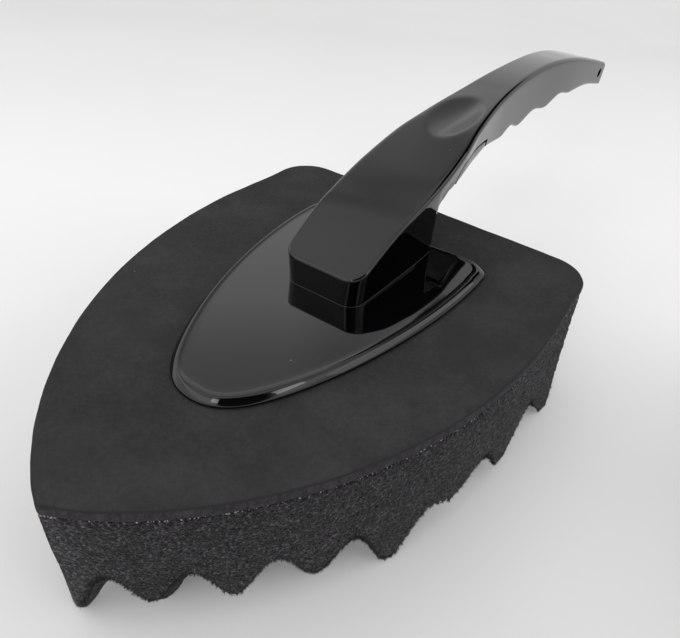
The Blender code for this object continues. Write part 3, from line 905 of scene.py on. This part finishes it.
def makeGlue():
    # the dried film itself and the small beads that squeezed out along the joint
    dice = random.Random(7)
    outline = alongKnots(foamOutline(film["inset"]), foam["outlineSteps"])
    band = outlineBlock("glueBand", outline, film["low"], film["high"])
    steps = film["steps"]
    edge = alongKnots(foamOutline(), steps)
    spots = []
    for centre, width, count in film["clusters"]:
        spots += [steps * min(max(dice.gauss(centre, width), 0.0), 0.999) for _ in range(count)]
    spots += [dice.uniform(0, len(edge) - 1) for _ in range(film["strays"])]
    beads = []
    for at in spots:
        place = edge[int(at)].lerp(edge[(int(at) + 1) % len(edge)], at % 1.0)
        bpy.ops.object.select_all(action="DESELECT")
        bpy.ops.mesh.primitive_ico_sphere_add(
            subdivisions=1,
            radius=dice.uniform(*film["beadRadius"]),
            location=(place.x, place.y, film["beadHeight"] + dice.gauss(0, film["beadSpread"])),
        )
        bead = bpy.context.object
        bead.scale = [dice.uniform(*film[way]) for way in ("beadWide", "beadWide", "beadTall")]
        beads.append(bead)
    onlySelect(beads[0])
    for bead in beads:
        bead.select_set(True)
    bpy.ops.object.transform_apply(location=True, rotation=True, scale=True)
    joinInto(band, beads)
    band.data.transform(foamPlace)
    coat(band, driedGlue("laminatingGlue", film["colour"]))
    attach(band, "root")
    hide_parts("laminating_film")
    print("glue with", len(beads), "beads")


makeFoamBlock()
makeFoamSheet()
makeGlue()


# base plate with its sloped rim

plate = {
    "length": 0.0961,
    "width": 0.0663,
    "backRadius": 0.0056,
    "backHollow": 0.0012,
    "widestAt": 0.89,
    "shoulder": (0.0141, 0.0077),
    "shoulderInward": (0.75, 0.6),
    "shoulderWay": (0.542, 0.840),
    "noseHandle": 0.0046,
    "shoulderHandles": (0.008, 0.020),
    "sideHandles": (0.029, 0.002),
    "backHandle": 0.010,
    "backLean": 0.0002,
    "bottom": 0.0465,
    "rim": [
        # (margin, height above the plate's bottom)
        (0.00030, 0.00000), (0.00010, 0.00006), (0.00000, 0.00020), (0.00000, 0.00044),
        (0.00005, 0.00062), (0.00017, 0.00081), (0.00037, 0.00103), (0.00070, 0.00137),
        (0.00103, 0.00169), (0.00133, 0.00196), (0.00155, 0.00213), (0.00175, 0.00225),
        (0.00195, 0.00232), (0.00215, 0.00235), (0.00233, 0.00234), (0.00254, 0.00229),
        (0.00283, 0.00222), (0.00320, 0.00216), (0.00375, 0.00213), (0.00540, 0.00212),
        (0.00800, 0.00212),
    ],
    "grow": 0.0010,
    "shift": -0.0005,
    "steps": 26,
}


def plateOutline(margin):
    grow, lean = plate["grow"], plate["backLean"]
    noseY = layout["plateNose"] - grow + margin
    half = plate["width"] / 2 + grow / 2 - margin
    # the widest point moves inward with each ring, so the rings never cross at the corners
    widest = layout["plateNose"] + plate["widestAt"] * plate["length"] - margin
    back = layout["plateNose"] + plate["length"] - margin
    (outX, outY), (inX, inY) = plate["shoulder"], plate["shoulderInward"]
    shoulder = Vector((outX - inX * margin, layout["plateNose"] + outY + inY * margin))
    along = Vector(plate["shoulderWay"])
    toNose, toSide = plate["shoulderHandles"]
    ahead, behind = plate["sideHandles"]
    nose, rear = plate["noseHandle"], plate["backHandle"]
    middle = back - plate["backHollow"]
    knots = [
        ((0, noseY), (-nose, noseY), (nose, noseY)),
        (tuple(shoulder), tuple(shoulder - toNose * along), tuple(shoulder + toSide * along)),
        ((half, widest), (half, widest - ahead), (half, widest + behind)),
        *roundedCorner(half - lean, back, plate["backRadius"], lean),
        ((0, middle), (rear, middle), (-rear, middle)),
    ]
    return mirroredKnots(knots)


screws = {
    "radius": 0.0013,
    "headRadius": 0.0026,
    "clearance": 0.0003,
    "places": [(-0.00625, 0.0100), (0.00625, 0.0100), (-0.0080, 0.0325), (0.0080, 0.0325)],
}


def cutScrewHoles(piece, profile, segments):
    for x, y in screws["places"]:
        centre = (x, layout["footFront"] + y, 0)
        cutAway(piece, turnedPin("screwHole", profile, centre, "Z", segments))


def makePlate():
    rings = []
    for margin, height in plate["rim"]:
        outline = alongKnots(plateOutline(margin), plate["steps"])
        rings.append([(p.x + plate["shift"], p.y, plate["bottom"] + height) for p in outline])
    piece = ringSolid("basePlate", rings)
    base, gap = plate["bottom"], screws["clearance"]
    hole, head = screws["radius"] + gap, screws["headRadius"] + gap
    sink = [(base - 0.001, head), (base + 0.0001, head)]
    cutScrewHoles(piece, [*sink, (base + 0.0013, hole), (base + 0.004, hole)], 24)
    settle(piece, 30, glossPlastic("plateGloss", 0.5))
    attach(piece, "root")
    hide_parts("base_plate")
    print("base plate", len(piece.data.polygons), "faces")


makePlate()


# handle: foot, arm and grip in one moulding

handle = {
    "footLength": 0.0407,
    "footWidth": 0.0261,
    "footCorner": 0.0048,
    "footFrontHeight": 0.0114,
    "footTaper": 0.0007,
    "footBottom": 0.04864,
    "flare": 0.00013,
    "armWidth": 0.0292,
    "armWidestAt": 0.039,
    "waistWidth": 0.0140,
    "waistAt": 0.134,
    "endWidth": 0.0184,
    "length": 0.2236,
    "crestHeight": 0.0371,
    "crestAt": 0.122,
    "endHeight": 0.0200,
    "endDepth": 0.0108,
    "neckHeight": 0.0172,
    "hollowHeight": 0.0234,
    "hollowAt": 0.072,
    "gripStart": 0.101,
    "gripHeight": 0.0186,
    "firstGroove": 0.0196,
    "groovePitch": 0.0289,
    "grooveCount": 3,
    "grooveDepth": 0.0023,
    "grooveRound": 0.16,
    "grooveScale": 1.004,
    # (place past the widest one, share of the width above the waist)
    "sideCurve": [(0.019, 0.84), (0.033, 0.54), (0.059, 0.15)],
    # (share of the way, share of the rise or fall), to the crest and on to the end
    "riseCurve": [(0, 0), (0.14, 0.31), (0.245, 0.455), (0.36, 0.6), (0.58, 0.84), (0.8, 0.965)],
    "fallCurve": [(0.28, 0.08), (0.54, 0.31), (0.81, 0.69), (1, 1)],
    # (place behind the foot, share of the step from neck to hollow)
    "hollowCurve": [(0.0025, 0.55), (0.0095, 0.80)],
    "gripOffsets": (0.0006, -0.0008, -0.0024, 0.0004),
    "footRound": 0.0009,
    "armRound": 0.0018,
    "endRound": 0.0006,
    "lowRound": 0.0011,
    "footLowRound": 0.0001,
    "roundFrom": 0.010,
    "roundOver": 0.040,
    "roofDrop": 0.0004,
    "roofRound": 0.0008,
    "lipHeight": 0.0004,
    "wall": 0.0022,
    "seamStart": 0.0505,
    "seamEnd": 0.0835,
    "seamRise": 0.0025,
    "seamEase": 0.0080,
    "belly": [
        # (place along the handle, how far it hangs)
        (0.0407, 0.0002), (0.0440, 0.0020), (0.0476, 0.0015), (0.0530, 0.0018),
        (0.0600, 0.0015), (0.0700, 0.0017), (0.0780, 0.0008), (0.0835, 0.0000),
    ],
    "notch": 0.0009,
    "coverThickness": 0.0019,
    "coverInset": 0.00015,
    "coverRecess": 0.0012,
    "coverRounds": (0.0009, 0.0004, 0.00025),
    "channelEnd": 0.206,
    "dishLength": 0.0285,
    "dishWidth": 0.0152,
    "dishDepth": 0.0012,
    "dishAt": 0.0748,
    "dishReach": -0.3,
    "dishSoft": 0.05,
    "dishCut": 0.0366,
    "hangHole": 0.0041,
    "hangHoleAt": 0.2168,
    "hangSink": 0.0013,
    "gap": 0.0003,
    "station": 0.0010,
    "footStation": 0.0012,
    "fineStation": 0.0002,
    "neckStations": (0.0003, 0.0008, 0.0014, 0.0022, 0.0032, 0.0044),
    "split": 0.00002,
}
ringSteps = {"low": 5, "side": 9, "top": 11, "across": 14, "inner": 17}
h = handle
gripEnd = h["gripStart"] + h["firstGroove"] + (h["grooveCount"] - 1) * h["groovePitch"]


def halfWidth(along):
    grow = (h["armWidth"] - h["waistWidth"]) / 2
    waist = h["waistWidth"] / 2
    at = h["armWidestAt"]
    points = [
        (0, h["footWidth"] / 2),
        (at / 2, (h["footWidth"] + 2 * h["armWidth"]) / 6),
        (at, h["armWidth"] / 2),
        *[(at + past, waist + share * grow) for past, share in h["sideCurve"]],
        (h["waistAt"], waist),
        ((h["waistAt"] + h["length"]) / 2, 0.5 * waist + h["endWidth"] / 4),
        (h["length"], h["endWidth"] / 2),
    ]
    return smoothThrough(points, along)


def topHeight(along):
    rise = h["crestHeight"] - h["footFrontHeight"]
    fall = h["crestHeight"] - h["endHeight"]
    tail = h["length"] - h["crestAt"]
    points = [(s * h["crestAt"], h["footFrontHeight"] + u * rise) for s, u in h["riseCurve"]]
    points.append((h["crestAt"], h["crestHeight"]))
    points += [(h["crestAt"] + s * tail, h["crestHeight"] - d * fall) for s, d in h["fallCurve"]]
    return layout["foamTop"] + smoothThrough(points, along)


def grooveRise(along):
    start, blunt = h["gripStart"], h["grooveRound"]
    for i in range(h["grooveCount"]):
        length = h["groovePitch"] if i else h["firstGroove"]
        if start <= along <= start + length:
            swing = math.sin(math.pi * (along - start) / length)
            bowl = math.sqrt(swing**4 + blunt**2 * swing**2) * 0.5 + 0.5 * swing**1.5
            return h["grooveDepth"] * bowl / h["grooveScale"]
        start += length
    return 0.0


def underHeight(along):
    lowEnd = h["endHeight"] - h["endDepth"]
    step = h["hollowHeight"] - h["neckHeight"]
    foot, grip = h["footLength"], h["gripHeight"]
    atStart, atGroove, atEnd, atTail = h["gripOffsets"]
    points = [
        (foot, h["neckHeight"]),
        *[(foot + past, h["neckHeight"] + share * step) for past, share in h["hollowCurve"]],
        (h["hollowAt"], h["hollowHeight"]),
        (h["gripStart"], grip + atStart),
        (h["gripStart"] + h["firstGroove"], grip + atGroove),
        (gripEnd, grip + atEnd),
        ((gripEnd + h["length"]) / 2, (grip + lowEnd) / 2 + atTail),
        (h["length"], lowEnd),
    ]
    return layout["foamTop"] + smoothThrough(points, along)


def belly(along):
    # the cover and the neck hang a little lower than the edge of the shell
    if h["footLength"] < along < h["seamEnd"]:
        return smoothThrough(h["belly"], along)
    return 0.0


def lowerEdge(along):
    under = underHeight(along)
    if h["seamStart"] <= along <= h["seamEnd"]:
        part = easeStep((along - h["seamStart"]) / h["seamEase"])
        return under + h["seamRise"] * part - belly(along) * (1 - part)
    return under + grooveRise(along) - belly(along)


def arcDrop(along, radius):
    if along >= radius:
        return 0.0
    return radius - math.sqrt(max(radius**2 - (radius - along) ** 2, 0.0))


def dishDrop(x, along):
    reach = 1 - (2 * x / h["dishWidth"]) ** 2 - (2 * (along - h["dishAt"]) / h["dishLength"]) ** 2
    if reach <= h["dishReach"]:
        return 0.0
    share = 0.5 * (reach + math.sqrt(reach * reach + h["dishSoft"])) - h["dishCut"]
    return h["dishDepth"] * max(share, 0.0)


def arc(x, z, radius, start, steps):
    # a quarter circle round (x, z) that begins at start degrees
    turns = [math.radians(start + 90 * i / steps) for i in range(steps + 1)]
    return [(x + radius * math.cos(a), z + radius * math.sin(a)) for a in turns]


def mirrored(right):
    # the last point lies on the middle line and isn't repeated
    return right + [(-x, z) for x, z in reversed(right[:-1])]


def flatUnder(half, low, count):
    # points from left to right across a closed underside
    return [(-half + 2 * half * (i + 1) / (count + 1), low) for i in range(count)]


def shellRing(along, hollow):
    # one section: up the right side, over the top, down the left and back below
    count = ringSteps
    half = halfWidth(along) - arcDrop(along, h["footCorner"])
    half -= arcDrop(h["length"] - along, h["endRound"])
    blend = easeStep((along - h["roundFrom"]) / h["roundOver"])
    topRound = h["footRound"] + (h["armRound"] - h["footRound"]) * blend
    high = topHeight(along) - arcDrop(along, topRound)
    high -= arcDrop(h["length"] - along, h["endRound"])
    if along <= h["footLength"]:
        low = base = h["footBottom"]
        fullTaper, lowRound = h["footTaper"], h["footLowRound"]
    else:
        low, base = lowerEdge(along), underHeight(along)
        fullTaper, lowRound = h["footTaper"] / 2, h["lowRound"]
    topRound = min(topRound, 0.45 * (high - low), 0.6 * half)
    draftHeight = max(high - topRound - base - lowRound, 1e-5)
    taper = fullTaper * min(max((high - topRound - low - lowRound) / draftHeight, 0.0), 1.0)
    lip, flat = half - taper - lowRound, half - topRound
    start, end = low + lowRound, high - topRound
    right = arc(lip, start, lowRound, -90, count["low"])
    for i in range(1, count["side"]):
        t = i / count["side"]
        z = start + (end - start) * t
        right.append((half - fullTaper * min(max((end - z) / draftHeight, 0.0), 1.0), z))
    right += arc(flat, end, topRound, 0, count["top"])
    for i in range(1, count["across"] + 1):
        right.append((flat * (1 - i / count["across"]), high))
    outer = mirrored(right)
    outer = [(x, z - (dishDrop(x, along) if z > high - 0.0001 else 0.0)) for x, z in outer]
    wallIn = half - h["wall"] - h["footTaper"]
    roof = high - h["wall"] - h["roofDrop"]
    r = h["roofRound"]
    if hollow:
        side = [(-wallIn, z) for z in (low, low + h["lipHeight"], (low + roof) / 2, roof - r)]
        bend = [(-wallIn + 0.3 * r, roof - 0.3 * r), (-wallIn + r, roof)]
        inner = mirrored(side + bend + [(-0.6 * wallIn, roof), (-0.3 * wallIn, roof), (0, roof)])
    else:
        inner = flatUnder(lip, low, count["inner"])
    y = layout["footFront"] + along
    return [(x, y, z) for x, z in outer + inner]


def evenly(start, end, step):
    count = max(1, math.ceil((end - start) / step))
    return [start + (end - start) * i / count for i in range(count + 1)]


def shellStations():
    # (place along the handle, open below)
    corner, foot, gap = h["footCorner"], h["footLength"], h["gap"]
    step, split = h["station"], h["split"]
    seamStart, seamEnd, channelEnd = h["seamStart"], h["seamEnd"], h["channelEnd"]
    places = {corner * (1 - math.cos(math.radians(a))) for a in range(0, 91, 9)}
    places |= {h["footRound"] * (1 - math.cos(math.radians(a))) for a in range(0, 91, 15)}
    places |= set(evenly(corner, foot, h["footStation"]))
    places |= {foot + d for d in h["neckStations"]}
    places |= set(evenly(foot + h["neckStations"][-1], seamStart - gap, step))
    stations = [(a, False) for a in sorted(places)]
    places = set(evenly(seamStart - gap + split, seamEnd - h["notch"], step))
    places |= set(evenly(seamEnd - h["notch"], seamEnd, h["fineStation"]))
    places |= set(evenly(seamEnd + split, channelEnd, step))
    stations += [(a, True) for a in sorted(places)]
    places = set(evenly(channelEnd + split, h["length"] - h["endRound"], step))
    for degrees in range(0, 91, 15):
        places.add(h["length"] - h["endRound"] * (1 - math.sin(math.radians(degrees))))
    return stations + [(a, False) for a in sorted(places)]


def makeFootFillet():
    # small hollow fillet round the foot, where it meets the plate
    r, corner = h["flare"], h["footCorner"]
    stations = [h["footLength"] - 0.004 * i for i in range(10)]
    stations = [along for along in stations if along > corner] + [corner]
    centre = halfWidth(corner) - h["footTaper"] - corner
    rings = []
    for k in range(9):
        a = math.radians(90 * k / 8)
        out, up = r * (1 - math.sin(a)), r * (1 - math.cos(a))
        reach = corner + out
        right = [(halfWidth(along) - h["footTaper"] + out, along) for along in stations]
        for i in range(1, 10):
            b = math.radians(10 * i)
            right.append((centre + reach * math.cos(b), corner - reach * math.sin(b)))
        ring = right + [(-x, y) for x, y in reversed(right)]
        rings.append([(x, layout["footFront"] + y, h["footBottom"] + up) for x, y in ring])
    return ringSolid("footFillet", rings)


def makeShell():
    rings = [shellRing(a, hollow) for a, hollow in shellStations()]
    piece = ringSolid("handleShell", rings)
    at, sink = h["hangHoleAt"], h["hangSink"]
    middle = (topHeight(at) + underHeight(at)) / 2
    r, half = h["hangHole"] / 2, halfWidth(at)
    ends = [(-half - 0.001, r + sink), (half + 0.001, r + sink)]
    profile = [ends[0], (-half + 0.0003, r), (half - 0.0003, r), ends[1]]
    cutAway(piece, turnedPin("hangBore", profile, (0, layout["footFront"] + at, middle), "X", 36))
    hole = screws["radius"] + screws["clearance"]
    cutScrewHoles(piece, [(h["footBottom"] - 0.001, hole), (h["footBottom"] + 0.0054, hole)], 20)
    joinInto(piece, [makeFootFillet()])
    settle(piece, 32, glossPlastic("handleGloss", 0.3))
    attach(piece, "root")
    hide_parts("handle_shell")
    print("handle shell", len(piece.data.polygons), "faces")


def coverRing(along, wide):
    # wide and visible up to the notch, then narrow inside the hollow of the grip
    wideRound, narrowRound, topRound = h["coverRounds"]
    if wide:
        half = halfWidth(along) - h["footTaper"] / 2 - h["coverInset"]
        low, high = underHeight(along) - belly(along), lowerEdge(along) - h["gap"]
    else:
        half = halfWidth(along) - h["wall"] - h["footTaper"] - h["gap"]
        low = lowerEdge(along) + h["coverRecess"]
        high = low + h["coverThickness"]
    lowRound = min(wideRound if wide else narrowRound, 0.45 * (high - low))
    topRound = min(topRound, 0.3 * (high - low))
    right = arc(half - lowRound, low + lowRound, lowRound, -90, 5)
    right += arc(half - topRound, high - topRound, topRound, 0, 3)
    right += [((half - topRound) * (1 - i / 6), high) for i in range(1, 7)]
    ring = mirrored(right) + flatUnder(half - lowRound, low, 11)
    return [(x, layout["footFront"] + along, z) for x, z in ring]


def makeCover():
    wideStart = h["seamStart"] + 0.4 * h["seamEase"]
    wideEnd = h["seamEnd"] - h["notch"]
    rings = [coverRing(a, True) for a in evenly(wideStart, wideEnd, 0.001)]
    narrowFrom = h["seamEnd"] + h["gap"]
    last = coverRing(wideEnd, True)
    shrink = (halfWidth(wideEnd) - h["wall"] - h["footTaper"] - h["gap"]) / halfWidth(wideEnd)
    rings.append([(x * shrink, y + h["gap"] / 3, z) for x, y, z in last])
    rings += [coverRing(a, False) for a in evenly(narrowFrom, h["channelEnd"] - h["gap"], 0.001)]
    piece = ringSolid("handleUndersideCover", rings)
    settle(piece, 32, glossPlastic("coverGloss", 0.2))
    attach(piece, "root")
    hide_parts("handle_underside_cover")
    print("underside cover", len(piece.data.polygons), "faces")


makeShell()
makeCover()


# pieces kept from the frame get their finishes

def dress(name, material):
    mesh = cadNodes[name].data
    if mesh.materials:
        for k in range(len(mesh.materials)):
            mesh.materials[k] = material
    else:
        mesh.materials.append(material)


dress("plate_bond_pad", driedGlue("plateBond", 0.28))
zinc = zincPlate("zincScrew")
for k in range(4):
    dress(f"foot_screw_{k + 1}", zinc)
print("kept pieces finished")
